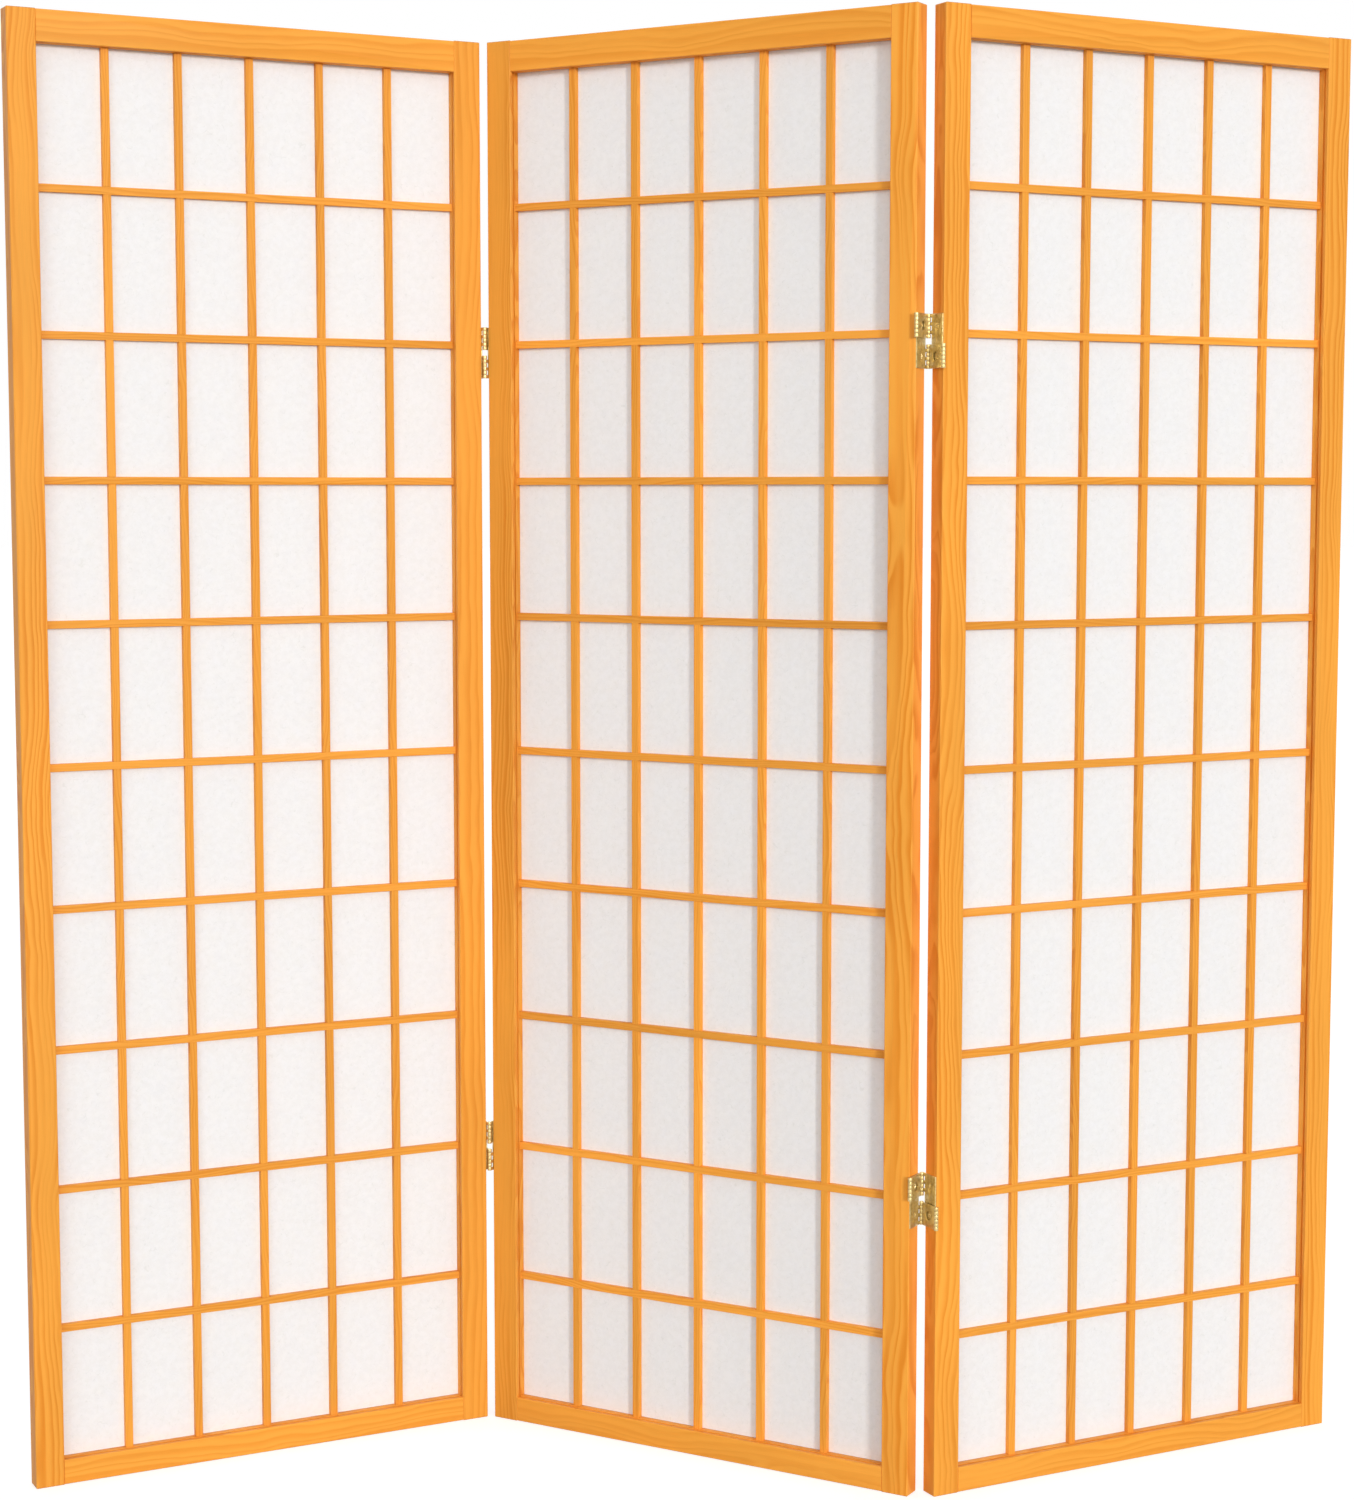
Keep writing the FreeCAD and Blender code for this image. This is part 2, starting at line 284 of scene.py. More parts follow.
def corner_shade_share(tree, place, node_name, centre, side):
    """Painted shade on the side of a rail that meets the paper, in a line along the paper's front.
    """
    paper_centre, paper_half = board_box(panel_of(node_name) + "_paper", True)
    paper_front = paper_centre.y - paper_half.y
    axes = axes_of(tree, place)
    start, full = (paper_front - reach for reach in painted_shade_line)
    near = ranged(tree, axes[1], 0.0, 1.0, start, full)
    inner = sum_of(tree, "GREATER_THAN", sum_of(tree, "MULTIPLY", axes[0], side), centre.x * side)
    return sum_of(tree, "MULTIPLY", sum_of(tree, "MULTIPLY", near, inner), painted_shade_share)


def new_material(name):
    """Material with a Principled shader and nothing else."""
    material = bpy.data.materials.new(name)
    material.use_nodes = True
    tree = material.node_tree
    return material, tree, tree.nodes["Principled BSDF"]


def lacquered_board(node_name, upright, seed, figure, contrast, stain, bars=None, dusty_side=None):
    """Honey-stained, lacquered softwood for one board, or for a row of bars each with its own
    tone and figure. A side that meets the paper may have a line of painted shade along it."""
    material, tree, shader = new_material(node_name + "_wood")
    place = board_place(tree, panel_turns[panel_of(node_name)], upright)
    centre, half = board_box(node_name, upright)
    along = board_step * seed
    if bars:
        first, pitch = bars
        number = sum_of(tree, "SUBTRACT", axes_of(tree, place)[0], first)
        number = sum_of(tree, "ROUND", sum_of(tree, "DIVIDE", number, pitch))
        draw = sum_of(tree, "ADD", number, bar_chance_step * seed)
        chance = put(tree, "ShaderNodeTexWhiteNoise", {"W": draw}, noise_dimensions="1D").outputs[0]
        along = sum_of(tree, "MULTIPLY_ADD", chance, bar_step, along)
        stain = ranged(tree, chance, *(share * stain for share in bar_stain_range))
    shift = put(tree, "ShaderNodeCombineXYZ", {"Z": along}).outputs[0]
    shifted = vector_of(tree, "ADD", vector_of(tree, "SUBTRACT", place, tuple(centre)), shift)
    ring_width, heart, wander = figure
    cut = {"Place": shifted, "Ring Width": ring_width, "Heart": heart, "Wander": wander}
    rings = put(tree, "ShaderNodeGroup", cut, node_tree=rings_group)
    box = {"Place": place, "Centre": centre, "Half": half}
    edges = put(tree, "ShaderNodeGroup", box, node_tree=edges_group)
    ring = sum_of(tree, "MULTIPLY", rings.outputs["Ring"], contrast)
    tone = ranged(tree, rings.outputs["Tone"], *honey_range, 0.3, 0.7)
    fibre = ranged(tree, rings.outputs["Fibre"], *fibre_range, 0.3, 0.7)
    shade = sum_of(tree, "MULTIPLY", sum_of(tree, "MULTIPLY", tone, fibre), stain)
    wood = put(tree, "ShaderNodeVectorMath",
               {0: blended(tree, ring, honey_light, honey_dark), "Scale": shade},
               operation="SCALE").outputs[0]
    rubbed = sum_of(tree, "MULTIPLY", edges.outputs["Edge"], rubbed_share)
    sawn = sum_of(tree, "MULTIPLY", edges.outputs["End"], sawn_share)
    wood = blended(tree, rubbed, wood, honey_rubbed)
    wood = blended(tree, sawn, wood, honey_end)
    # Painted shade: the rail's face darkens towards the paper, in the corner that lies in shade.
    if dusty_side is not None:
        corner_shade = corner_shade_share(tree, place, node_name, centre, dusty_side)
        wood = blended(tree, corner_shade, wood, honey_painted_shade)
    tree.links.new(wood, shader.inputs["Base Color"])
    roughness = ranged(tree, rings.outputs["Fibre"], *lacquer_roughness)
    tree.links.new(roughness, shader.inputs["Roughness"])
    bump = put(tree, "ShaderNodeBump", {"Height": rings.outputs["Height"],
                                        "Strength": grain_strength, "Distance": grain_relief})
    tree.links.new(bump.outputs[0], shader.inputs["Normal"])
    shader.inputs["Specular IOR Level"].default_value = lacquer_specular
    return material


def dress(node_name, material, ease):
    """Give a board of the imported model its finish, with its arrises eased by so much."""
    node = frame["nodes"][node_name]
    node.data.materials.clear()
    node.data.materials.append(material)
    node.modifiers.new("joined_faces", "WELD").merge_threshold = 0.000001
    eased_edges = node.modifiers.new("eased_arrises", "BEVEL")
    eased_edges.width = ease
    eased_edges.segments = 2
    eased_edges.limit_method = "ANGLE"
    eased_edges.angle_limit = math.radians(40)


# One row a stile: ring width, distance of the heart from the board, wander of the rings,
# strength of the late wood, depth of the stain.
stile_boards = {
    "left_panel_left_stile": (0.0034, 0.020, 0.055, 0.90, 0.99),
    "left_panel_right_stile": (0.0060, 0.034, 0.045, 0.60, 0.97),
    "middle_panel_left_stile": (0.0032, 0.022, 0.050, 0.85, 0.91),
    "middle_panel_right_stile": (0.0052, 0.012, 0.065, 0.95, 1.08),
    "right_panel_left_stile": (0.0042, 0.026, 0.070, 0.90, 1.03),
    "right_panel_right_stile": (0.0036, 0.018, 0.055, 0.85, 1.02),
}
for seed, (node_name, (*figure, contrast, stain)) in enumerate(stile_boards.items()):
    dress(node_name, lacquered_board(node_name, True, seed, figure, contrast, stain), frame_arris)

# ------------------------------------------------------------------ rails
# The top rail is 26 mm and the bottom rail 21 mm tall, of the same softwood with the grain lying
# along them. Their blind tenons sit in the stiles, which run past them at top and bottom.
rail_seed = 11
rail_wander = 0.065
rail_contrast = 0.50
rail_stain = 1.04

# One row a rail: ring width, distance of the heart, and the way from the rail to the paper.
rail_boards = {"top_rail": (0.0058, 0.020, -1), "bottom_rail": (0.0046, 0.016, 1)}
for seed, panel in enumerate(panel_turns, rail_seed):
    for which, (ring_width, heart, inner_side) in rail_boards.items():
        figure = (ring_width, heart, rail_wander)
        wood = lacquered_board(f"{panel}_{which}", False, seed + len(which), figure, rail_contrast,
                               rail_stain, dusty_side=inner_side)
        dress(f"{panel}_{which}", wood, frame_arris)

# ------------------------------------------------------------------ lattice
# Five upright and nine cross bars of 6.4 by 5 mm softwood, half-lapped where they cross so that
# their faces lie flush, with stub ends let into the frame.
bar_seed = 31
bar_figure = (0.0030, 0.030, 0.040)
bar_contrast = 0.65
bar_stain = 1.0
bar_arris = 0.0003


def bar_lines(node_name, axis):
    """Middle lines of a panel's bars, read from where their long faces lie."""
    turn = panel_turns[panel_of(node_name)]
    faces = set()
    for vertex in frame["nodes"][node_name].data.vertices:
        faces.add(round((Matrix.Rotation(-turn, 3, "Z") @ vertex.co)[axis], 5))
    faces = sorted(faces)
    return [(near + far) / 2 for near, far in zip(faces[0::2], faces[1::2])]


for seed, panel in enumerate(panel_turns, bar_seed):
    for which, upright, axis in (("vertical_bars", True, 0), ("horizontal_bars", False, 2)):
        lines = bar_lines(f"{panel}_{which}", axis)
        wood = lacquered_board(f"{panel}_{which}", upright, seed + len(which), bar_figure,
                               bar_contrast, bar_stain, (lines[0], lines[1] - lines[0]))
        dress(f"{panel}_{which}", wood, bar_arris)

# ------------------------------------------------------------------ paper
# One sheet of white fibre paper closes each panel from behind. Its edges sit in a saw kerf round
# the frame and it is pasted to the backs of the bars, so it cockles a little inside each pane.
paper_tuck = 0.003
paper_lift = 0.00002
cockle_depth = 0.00045
cockle_ripples = 5.0
cockle_slant = 3.0
cells_across = 8
cells_up = 14

pulp_thick = (0.863, 0.852, 0.842, 1)
pulp_thin = (0.897, 0.887, 0.880, 1)
pulp_range = (0.35, 0.65)
fibre_grey = (0.50, 0.52, 0.47, 1)
fibre_share = 0.16
paper_roughness = 0.85
paper_specular = 0.25
paper_glow = 0.70
paper_glow_reach = 0.0006
paper_glow_colours = (1.0, 0.95, 0.85)
paper_relief = 0.00008
paper_relief_strength = 0.3

# One row a layer of fibres: scale, width, how rare they are, shift from the other layers,
# strength.
fibre_layers = (
    (95.0, 0.012, 0.56, 0.0, 1.0),
    (170.0, 0.016, 0.55, 3.0, 1.0),
    (300.0, 0.024, 0.52, 7.0, 0.6),
)
fibre_breaks = 1.6
fibre_breaks_shift = (5.0, 1.0, 2.0)
cloud_scale = 220.0


def paper_fibres():
    """Short fibres lying any way in the sheet, the sheet's cloudiness, and its surface."""
    tree, given, result = new_group(
        "paper fibres", [("Place", "Vector", None)],
        [("Fibre", "Float"), ("Cloud", "Float"), ("Height", "Float")])
    layers = []
    for scale, width, rarity, shift, strength in fibre_layers:
        place = vector_of(tree, "ADD", given["Place"], (shift, 2 * shift, -shift))
        line = sum_of(tree, "SUBTRACT", noise_of(tree, place, scale, 1.0), 0.5)
        line = eased(tree, sum_of(tree, "ABSOLUTE", line), width, 0.2 * width)
        where = vector_of(tree, "ADD", place, fibre_breaks_shift)
        broken = noise_of(tree, where, fibre_breaks * scale, 1.0)
        layer = sum_of(tree, "MULTIPLY", line, eased(tree, broken, rarity, rarity + 0.05))
        layers.append(sum_of(tree, "MULTIPLY", layer, strength))
    fibre = sum_of(tree, "MAXIMUM", sum_of(tree, "MAXIMUM", *layers[:2]), layers[2])
    cloud = noise_of(tree, given["Place"], cloud_scale, 5.0, 0.65)
    tree.links.new(fibre, result["Fibre"])
    tree.links.new(cloud, result["Cloud"])
    tree.links.new(sum_of(tree, "MULTIPLY_ADD", fibre, 0.5, cloud), result["Height"])
    return tree


paper_group = paper_fibres()


def paper_stock(name):
    """White fibre paper, matt, a little warm, with greyish fibres. Light comes through it."""
    material, tree, shader = new_material(name)
    coords = put(tree, "ShaderNodeTexCoord").outputs["Object"]
    fibres = put(tree, "ShaderNodeGroup", {"Place": coords}, node_tree=paper_group)
    cloud = eased(tree, fibres.outputs["Cloud"], *pulp_range)
    sheet = blended(tree, cloud, pulp_thick, pulp_thin)
    share = sum_of(tree, "MULTIPLY", fibres.outputs["Fibre"], fibre_share)
    tree.links.new(blended(tree, share, sheet, fibre_grey), shader.inputs["Base Color"])
    shader.inputs["Roughness"].default_value = paper_roughness
    shader.inputs["Specular IOR Level"].default_value = paper_specular
    shader.inputs["Subsurface Weight"].default_value = paper_glow
    shader.inputs["Subsurface Radius"].default_value = paper_glow_colours
    shader.inputs["Subsurface Scale"].default_value = paper_glow_reach
    bump = put(tree, "ShaderNodeBump", {"Height": fibres.outputs["Height"],
                                        "Strength": paper_relief_strength,
                                        "Distance": paper_relief})
    tree.links.new(bump.outputs[0], shader.inputs["Normal"])
    return material


def stations(start, end, lines, cells):
    """Places along one side of a sheet, closer in the panes than in the kerf, with the share of
    the way across its pane for each, and the number of that pane."""
    marks = [start + paper_tuck, *lines, end - paper_tuck]
    places = [(start, 0.0, 0)]
    for pane, (near, far) in enumerate(zip(marks, marks[1:])):
        for cell in range(cells):
            places.append((near + (far - near) * cell / cells, cell / cells, pane))
    places += [(marks[-1], 0.0, 0), (end, 0.0, 0)]
    return places


def rim_of(rows):
    """Corners round the outside of a grid of rows, in order."""
    right = [row[-1] for row in rows[:-1]]
    left = [row[0] for row in rows[:0:-1]]
    return rows[0][:-1] + right + rows[-1][:0:-1] + left


def finished_piece(name, mesh):
    """Smooth-shaded object made from a bmesh."""
    data = bpy.data.meshes.new(name)
    bmesh.ops.recalc_face_normals(mesh, faces=mesh.faces)
    mesh.to_mesh(data)
    mesh.free()
    data.shade_smooth()
    piece = bpy.data.objects.new(name, data)
    bpy.context.collection.objects.link(piece)
    return piece


def paper_sheet(name, panel, turn):
    """Closed sheet of paper, cockled towards the back inside each pane."""
    centre, half = board_box(panel + "_paper", True)
    low, high = centre - half, centre + half
    across = stations(low.x, high.x, bar_lines(panel + "_vertical_bars", 0), cells_across)
    up = stations(low.z, high.z, bar_lines(panel + "_horizontal_bars", 2), cells_up)
    draw = random.Random(name)
    waves = {}
    mesh = bmesh.new()
    sides = []
    for y in (low.y + paper_lift, high.y + paper_lift):
        rows = []
        for z, rise, row in up:
            line = []
            for x, way, column in across:
                if (row, column) not in waves:
                    waves[row, column] = [draw.uniform(0.15, 1.0), draw.uniform(0.25, 0.75),
                                          draw.uniform(-0.5, 0.5), draw.uniform(0.0, 6.3)]
                depth, skew, ripple, phase = waves[row, column]
                swell = math.sin(math.pi * way) * math.sin(math.pi * rise)
                angle = cockle_ripples * rise + cockle_slant * skew * way + phase
                swell *= depth * (1 + ripple * math.sin(angle))
                point = Vector((x, y + cockle_depth * swell, z))
                line.append(mesh.verts.new(Matrix.Rotation(turn, 3, "Z") @ point))
            rows.append(line)
        sides.append(rows)
    front, back = sides
    for j in range(len(up) - 1):
        for i in range(len(across) - 1):
            mesh.faces.new((front[j][i], front[j][i + 1], front[j + 1][i + 1], front[j + 1][i]))
            mesh.faces.new((back[j][i], back[j + 1][i], back[j + 1][i + 1], back[j][i + 1]))
    front_rim, back_rim = rim_of(front), rim_of(back)
    for k in range(len(front_rim)):
        n = (k + 1) % len(front_rim)
        mesh.faces.new((front_rim[n], front_rim[k], back_rim[k], back_rim[n]))
    return finished_piece(name, mesh)


paper_material = paper_stock("fibre_paper")
for panel, turn in panel_turns.items():
    sheet = paper_sheet(panel + "_paper_sheet", panel, turn)
    sheet.data.materials.append(paper_material)
    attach(sheet, panel)
    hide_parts(panel + "_paper")

# ------------------------------------------------------------------ hinge leaves
# Each hinge folds both ways. Two leaves of brass-plated sheet, 0.9 mm thick, are screwed to the
# facing edges of the panels, and the teeth along their sides are rolled into knuckles: front ones
# in one half of the hinge, rear ones in the other.
millimetre = 0.001
panel_thickness = 17.0
hinge_height = 44.0
hinge_window = 5.0
half_height = (hinge_height - hinge_window) / 2
knuckles_per_half = 6
knuckle_length = 3.0
knuckle_pitch = 3.3
barrel_radius = 1.9
plate_thickness = 0.9
plate_corner = 0.8
pin_bore = barrel_radius - plate_thickness
pin_stand_off = 2.8
leaf_margin = 0.3
leaf_roll = 292
curl_lap = 0.4
screw_level = 12.25
screw_hole = 2.9
sheet_softness = 0.12
front_axis = -pin_stand_off
rear_axis = panel_thickness + pin_stand_off

brass_metal = 0.75
brass_stain_scale = 260.0
brass_stain_range = (0.42, 0.68)
scratch_scale = (2500.0, 2500.0, 260.0)
scratch_range = (-0.08, 0.10)
scratch_relief = 0.00002
scratch_strength = 0.2


def stamped(outline, holes, low, high):
    """Bmesh of a shape cut from sheet: an outline with holes, soft along its edges, from one
    level to another above its own plane."""
    curve = bpy.data.curves.new("stamping", "CURVE")
    curve.dimensions = "2D"
    curve.fill_mode = "BOTH"
    curve.extrude = (high - low) / 2 - sheet_softness
    curve.bevel_depth = sheet_softness
    curve.bevel_resolution = 1
    curve.offset = -sheet_softness
    for points in (outline, *holes):
        line = curve.splines.new("POLY")
        line.points.add(len(points) - 1)
        for point, (x, y) in zip(line.points, points):
            point.co = (x, y, 0, 1)
        line.use_cyclic_u = True
    holder = bpy.data.objects.new("stamping", curve)
    data = bpy.data.meshes.new_from_object(holder)
    mesh = bmesh.new()
    mesh.from_mesh(data)
    bmesh.ops.remove_doubles(mesh, verts=mesh.verts, dist=0.001)
    bmesh.ops.translate(mesh, verts=mesh.verts, vec=(0, 0, (high + low) / 2))
    bpy.data.objects.remove(holder)
    bpy.data.curves.remove(curve)
    bpy.data.meshes.remove(data)
    return mesh


def arc(x, y, radius, start, end, steps):
    """Points along an arc, in degrees."""
    angles = [math.radians(start + (end - start) * n / steps) for n in range(steps + 1)]
    return [(x + radius * math.cos(a), y + radius * math.sin(a)) for a in angles]


def round_hole(x, y, radius):
    """Points round a hole."""
    return arc(x, y, radius, 360, 0, 40)[:-1]


def plate_outline(x0, x1, y0, y1):
    """Rectangle with rounded corners."""
    r = plate_corner
    points = []
    for x, y, start in ((x1 - r, y1 - r, 0), (x0 + r, y1 - r, 90),
                        (x0 + r, y0 + r, 180), (x1 - r, y0 + r, 270)):
        points += arc(x, y, r, start, start + 90, 6)
    return points


def laid_in(target, part, turned=None):
    """Add one bmesh to another, turned if asked, and drop it."""
    if turned is not None:
        bmesh.ops.transform(part, matrix=turned, verts=part.verts)
    data = bpy.data.meshes.new("part")
    part.to_mesh(data)
    target.from_mesh(data)
    bpy.data.meshes.remove(data)
    part.free()


# A plate is drawn with its width and height in X and Y, then stood on edge in the hinge.
on_edge = Matrix(((0, 0, 1, 0), (1, 0, 0, 0), (0, 1, 0, 0), (0, 0, 0, 1)))


def knuckle_levels(bottom, first):
    """Lower ends of every second knuckle in one half of a hinge."""
    return [bottom + n * knuckle_pitch for n in range(first, knuckles_per_half, 2)]


def leaf_curl(axis_y, edge_y):
    """Section of a tooth that leaves the plate's edge and rolls round the pin."""
    side = 1 if edge_y > axis_y else -1
    points = [(-barrel_radius, edge_y)]
    for radius, start, end in ((barrel_radius, 180, 180 + side * leaf_roll),
                               (pin_bore, 180 + side * leaf_roll, 180)):
        points += arc(0, axis_y, radius, start, end, 30)
    points.append((-pin_bore, edge_y))
    return points if side > 0 else points[::-1]


def leaf_mesh():
    """Leaf of the panel on the left: front knuckles in the upper half, rear ones in the lower."""
    front = leaf_margin
    back = panel_thickness - leaf_margin
    middle = panel_thickness / 2
    mesh = bmesh.new()
    outline = plate_outline(front, back, -hinge_height / 2, hinge_height / 2)
    holes = [round_hole(middle, level, screw_hole) for level in (-screw_level, screw_level)]
    laid_in(mesh, stamped(outline, holes, -barrel_radius, -pin_bore), on_edge)
    for low in knuckle_levels(hinge_window / 2, 1):
        curl = leaf_curl(front_axis, front + curl_lap)
        laid_in(mesh, stamped(curl, (), low, low + knuckle_length))
    for low in knuckle_levels(-hinge_height / 2, 0):
        curl = leaf_curl(rear_axis, back - curl_lap)
        laid_in(mesh, stamped(curl, (), low, low + knuckle_length))
    return mesh


def hinge_brass(name, colour, dull, roughness):
    """Satin brass plating, a little dulled and finely scratched."""
    material, tree, shader = new_material(name)
    coords = put(tree, "ShaderNodeTexCoord").outputs["Object"]
    stain = eased(tree, noise_of(tree, coords, brass_stain_scale, 4.0, 0.6), *brass_stain_range)
    tree.links.new(blended(tree, stain, colour, dull), shader.inputs["Base Color"])
    shader.inputs["Metallic"].default_value = brass_metal
    scratches = drawn_out(tree, coords, scratch_scale, 3.0)
    gloss = ranged(tree, scratches, *(roughness + change for change in scratch_range))
    tree.links.new(gloss, shader.inputs["Roughness"])
    bump = put(tree, "ShaderNodeBump", {"Height": scratches, "Strength": scratch_strength,
                                        "Distance": scratch_relief})
    tree.links.new(bump.outputs[0], shader.inputs["Normal"])
    return material


brass = hinge_brass("dulled_brass", (0.70, 0.55, 0.25, 1), (0.52, 0.38, 0.14, 1), 0.35)
pin_brass = hinge_brass("drawn_brass", (0.78, 0.62, 0.30, 1), (0.60, 0.44, 0.17, 1), 0.30)

leaf_box_low, leaf_box_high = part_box("left_hinge_side_leaves")
hinge_levels = {"low": leaf_box_low[2] + hinge_height / 2 * millimetre,
                "high": leaf_box_high[2] - hinge_height / 2 * millimetre}
axes = {joint["name"]: joint["pos_m"] for joint in frame["joints"]}
half_turn = Matrix.Rotation(math.pi, 4, "Y")

# Each joint: its hinge axis, where that lies in the hinge, its side panel, and whether that
# panel is the one on the left.
joints = {
    "left_hinge": ("left_fold", front_axis, "left_panel", True),
    "right_hinge": ("right_fold", rear_axis, "right_panel", False),
}


def hinge_place(axis_name, axis_y, panel, level):
    """Where a hinge drawn flat in millimetres lies with one of its panels."""
    x, y, _ = axes[axis_name]
    spot = Matrix.Translation((x, y, level)) @ Matrix.Rotation(panel_turns[panel], 4, "Z")
    return spot @ Matrix.Scale(millimetre, 4) @ Matrix.Translation((0, -axis_y, 0))


def fitted(name, mesh, place, panel, finish, node_name, smooth_below=35):
    """Hinge piece put in place, riding on its panel."""
    bmesh.ops.transform(mesh, matrix=place, verts=mesh.verts)
    piece = finished_piece(name, mesh)
    piece.data.set_sharp_from_angle(angle=math.radians(smooth_below))
    piece.data.materials.append(finish)
    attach(piece, panel)
    if node_name:
        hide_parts(node_name)


for hinge, (axis_name, axis_y, side_panel, side_is_left) in joints.items():
    for height, level in hinge_levels.items():
        for which, panel in (("side", side_panel), ("middle", "middle_panel")):
            place = hinge_place(axis_name, axis_y, panel, level)
            if side_is_left != (which == "side"):
                place = place @ half_turn
            fitted(f"{hinge}_{height}_{which}_leaf", leaf_mesh(), place, panel, brass,
                   f"{hinge}_{which}_leaves")

# ------------------------------------------------------------------ hinge links
# A link of the same sheet ties the leaves in each half of a hinge, with knuckles rolled along
# both its sides. A hole through it lets the screwdriver reach the leaf's screw. The upper link
# lies on the middle panel's leaf and the lower one on the side panel's.
access_hole = 3.75
link_clearance = 0.4
link_slit = 9


def link_curl(axis_y, edge_y):
    """Section of a link's tooth, whose rolled end comes back to the plate beside it."""
    side = 1 if edge_y > axis_y else -1
    half = plate_thickness / 2
    reach = abs(edge_y - axis_y)
    meet = math.degrees(math.asin(half / barrel_radius))
    last = 90 - 360 + meet + link_slit
    outer = arc(0, 0, barrel_radius, 90 - meet, last, 34)
    inner = arc(0, 0, pin_bore, last, 90 - meet - link_slit, 34)
    points = [(half, reach)] + outer + inner + [(-half, reach)]
    points = [(x, axis_y + side * y) for x, y in points]
    return points[::-1] if side > 0 else points


def link_mesh():
    """Upper link."""
    half = plate_thickness / 2
    low_end = hinge_window / 2
    front = front_axis + barrel_radius + link_clearance
    back = rear_axis - barrel_radius - link_clearance
    mesh = bmesh.new()
    outline = plate_outline(front, back, low_end, low_end + half_height)
    holes = [round_hole(panel_thickness / 2, screw_level, access_hole)]
    laid_in(mesh, stamped(outline, holes, -half, half), on_edge)
    for low in knuckle_levels(low_end, 0):
        for axis_y, edge_y in ((front_axis, front + curl_lap), (rear_axis, back - curl_lap)):
            laid_in(mesh, stamped(link_curl(axis_y, edge_y), (), low, low + knuckle_length))
    return mesh


for hinge, (axis_name, axis_y, side_panel, side_is_left) in joints.items():
    for height, level in hinge_levels.items():
        for which, panel in (("upper", "middle_panel"), ("lower", side_panel)):
            place = hinge_place(axis_name, axis_y, panel, level)
            if which == "lower":
                place = place @ half_turn
            fitted(f"{hinge}_{height}_{which}_link", link_mesh(), place, panel, brass,
                   f"{hinge}_{which}_links")

# ------------------------------------------------------------------ hinge pins
# Drawn brass wire of 1.9 mm runs through the knuckles of each half, its ends peened over round.
# Only the lower pin that lies off the joint's axis goes with the side panel.
pin_radius = 0.95
pin_sides = 32
pin_end = ((0.35, 0.0), (0.68, 0.10), (0.87, 0.28), (pin_radius, 0.55))


def turned_on_lathe(profile, sides):
    """Bmesh of a profile of radii and levels turned about Z; its ends are closed."""
    mesh = bmesh.new()
    rings = []
    for radius, level in profile:
        ring = []
        for n in range(sides):
            angle = 2 * math.pi * n / sides
            ring.append(mesh.verts.new((radius * math.cos(angle), radius * math.sin(angle), level)))
        rings.append(ring)
    for near, far in zip(rings, rings[1:]):
        for n in range(sides):
            m = (n + 1) % sides
            mesh.faces.new((near[n], near[m], far[m], far[n]))
    mesh.faces.new(rings[0][::-1])
    mesh.faces.new(rings[-1])
    return mesh


def pin_mesh(axis_y, upper):
    """Pin of one half barrel."""
    low = hinge_window / 2 if upper else -hinge_height / 2
    top = [(radius, half_height - rise) for radius, rise in reversed(pin_end)]
    mesh = turned_on_lathe([*pin_end, *top], pin_sides)
    bmesh.ops.translate(mesh, verts=mesh.verts, vec=(0, axis_y, low))
    return mesh


for hinge, (axis_name, axis_y, side_panel, side_is_left) in joints.items():
    for height, level in hinge_levels.items():
        for where, pin_y in (("front", front_axis), ("rear", rear_axis)):
            for which in ("upper", "lower"):
                with_side = which == "lower" and pin_y != axis_y
                panel = side_panel if with_side else "middle_panel"
                node_name = f"{hinge}_side_pins" if with_side else f"{hinge}_middle_pins"
                place = hinge_place(axis_name, axis_y, panel, level)
                fitted(f"{hinge}_{height}_{where}_{which}_pin", pin_mesh(pin_y, which == "upper"),
                       place, panel, pin_brass, node_name)

# ------------------------------------------------------------------ hinge screws
# Two countersunk brass screws hold each leaf to the stile. Their heads sit in the leaf, slightly
# domed, with a cross recess.
head_radius = 2.75
head_dome = 0.28
head_depth = 0.8
head_taper = 0.7
head_rings = 18
head_spokes = 64
recess_reach = 1.75
recess_half_width = 0.34
recess_depth = 0.65
recess_wall = 0.14
recess_end_wall = 0.35
recess_lip = 0.10


def screw_head():
    """Head of a screw, looking along +Z, with the leaf's face at zero."""
    mesh = bmesh.new()
    levels = []
    for ring in range(1, head_rings + 1):
        radius = head_radius * ring / head_rings
        line = []
        for n in range(head_spokes):
            angle = 2 * math.pi * n / head_spokes
            x = radius * math.cos(angle)
            y = radius * math.sin(angle)
            rise = head_dome * (1 - (radius / head_radius) ** 2)
            narrow, wide = sorted((abs(x), abs(y)))
            inside = min(1.0, max(0.0, (recess_half_width + recess_lip - narrow) / recess_wall))
            inside *= min(1.0, max(0.0, (recess_reach - wide) / recess_end_wall))
            line.append(mesh.verts.new((x, y, rise - recess_depth * inside)))
        levels.append(line)
    bottom = [mesh.verts.new((v.co.x * head_taper, v.co.y * head_taper, -head_depth))
              for v in levels[-1]]
    levels.append(bottom)
    middle = mesh.verts.new((0, 0, head_dome - recess_depth))
    for n in range(head_spokes):
        m = (n + 1) % head_spokes
        mesh.faces.new((middle, levels[0][n], levels[0][m]))
        for near, far in zip(levels, levels[1:]):
            mesh.faces.new((near[n], far[n], far[m], near[m]))
    mesh.faces.new(bottom)
    return mesh


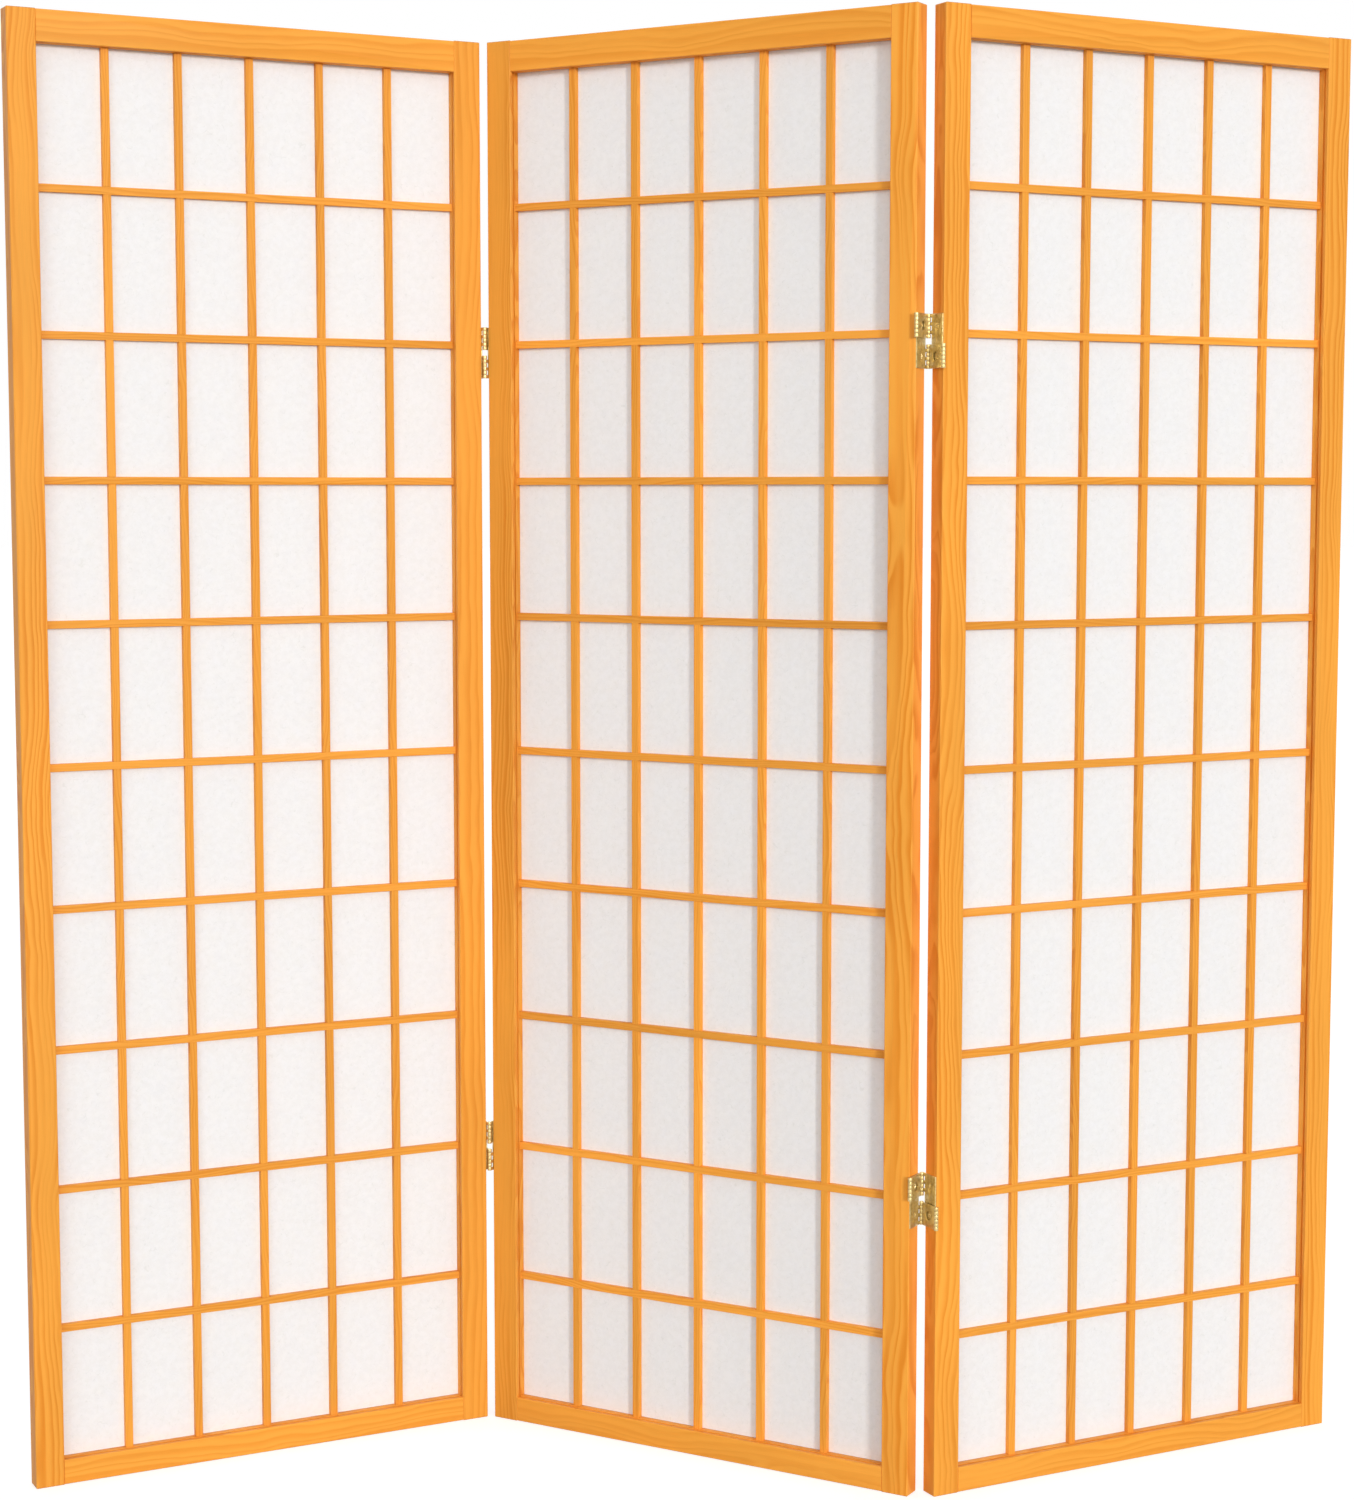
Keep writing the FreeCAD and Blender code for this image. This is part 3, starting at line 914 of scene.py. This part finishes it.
for hinge, (axis_name, axis_y, side_panel, side_is_left) in joints.items():
    draw = random.Random(hinge)
    for height, level in hinge_levels.items():
        for which, panel in (("side", side_panel), ("middle", "middle_panel")):
            place = hinge_place(axis_name, axis_y, panel, level)
            if side_is_left != (which == "side"):
                place = place @ half_turn
            for where, screw_z in (("upper", screw_level), ("lower", -screw_level)):
                mesh = screw_head()
                spin = Matrix.Rotation(draw.uniform(0, math.pi / 2), 4, "Z")
                seat = Matrix.Translation((-pin_bore, panel_thickness / 2, screw_z))
                stand = seat @ Matrix.Rotation(math.pi / 2, 4, "Y") @ spin
                bmesh.ops.transform(mesh, matrix=stand, verts=mesh.verts)
                fitted(f"{hinge}_{height}_{which}_{where}_screw", mesh, place, panel, pin_brass,
                       None, smooth_below=50)

# ------------------------------------------------------------------ studio
# A plain white floor and backdrop under plain soft light: an even sky, a soft lamp from the
# right at about the height of the screen, a weaker, broader one near the camera, and one behind
# the screen, which shows through the paper.
sky_level = 0.50

# One row a lamp: strength, turn to the viewer's right, rise above level, spread, in degrees.
lamps = {
    "key_lamp": (1.45, 27, 9, 9),
    "fill_lamp": (1.05, -10, 8, 50),
    "back_lamp": (0.65, 195, 15, 40),
}
floor_half = 40.0
floor_bounce = (0.40, 0.40, 0.40, 1)
floor_paint = (0.55, 0.55, 0.55, 1)
floor_glow = 0.70
floor_roughness = 0.9
white = (1, 1, 1, 1)


def seen_rays(tree):
    """1 for rays that show the backdrop to the viewer, straight on or in metal, else 0."""
    path = put(tree, "ShaderNodeLightPath").outputs
    seen = sum_of(tree, "MAXIMUM", path["Is Camera Ray"], path["Is Glossy Ray"])
    return sum_of(tree, "MAXIMUM", seen, path["Is Transmission Ray"])


def soft_lamp(name, level, turned, rise, spread):
    """Distant lamp, turned to the viewer's right of straight ahead and raised above level."""
    data = bpy.data.lights.new(name, "SUN")
    data.energy = level
    data.angle = math.radians(spread)
    turned, rise = math.radians(turned), math.radians(rise)
    sideways = math.sin(turned) * math.cos(rise)
    forwards = -math.cos(turned) * math.cos(rise)
    towards = Vector((sideways, forwards, math.sin(rise)))
    lamp = bpy.data.objects.new(name, data)
    lamp.rotation_euler = towards.to_track_quat("Z", "Y").to_euler()
    bpy.context.collection.objects.link(lamp)


world = bpy.data.worlds.new("studio")
bpy.context.scene.world = world
world.use_nodes = True
background = world.node_tree.nodes["Background"]
background.inputs["Color"].default_value = white
strength = ranged(world.node_tree, seen_rays(world.node_tree), sky_level, 1.0)
world.node_tree.links.new(strength, background.inputs["Strength"])

for name, lamp in lamps.items():
    soft_lamp(name, *lamp)

floor_mesh = bpy.data.meshes.new("floor")
corners = [(x * floor_half, y * floor_half, 0) for x, y in ((-1, -1), (1, -1), (1, 1), (-1, 1))]
floor_mesh.from_pydata(corners, [], [(0, 1, 2, 3)])
floor = bpy.data.objects.new("floor", floor_mesh)
bpy.context.collection.objects.link(floor)
material, tree, shader = new_material("floor_paint")
shader.inputs["Roughness"].default_value = floor_roughness
shader.inputs["Specular IOR Level"].default_value = 0.0
seen = seen_rays(tree)
tree.links.new(blended(tree, seen, floor_bounce, floor_paint), shader.inputs["Base Color"])
shader.inputs["Emission Color"].default_value = white
tree.links.new(sum_of(tree, "MULTIPLY", seen, floor_glow), shader.inputs["Emission Strength"])
floor_mesh.materials.append(material)

bpy.context.scene.view_settings.view_transform = "Standard"
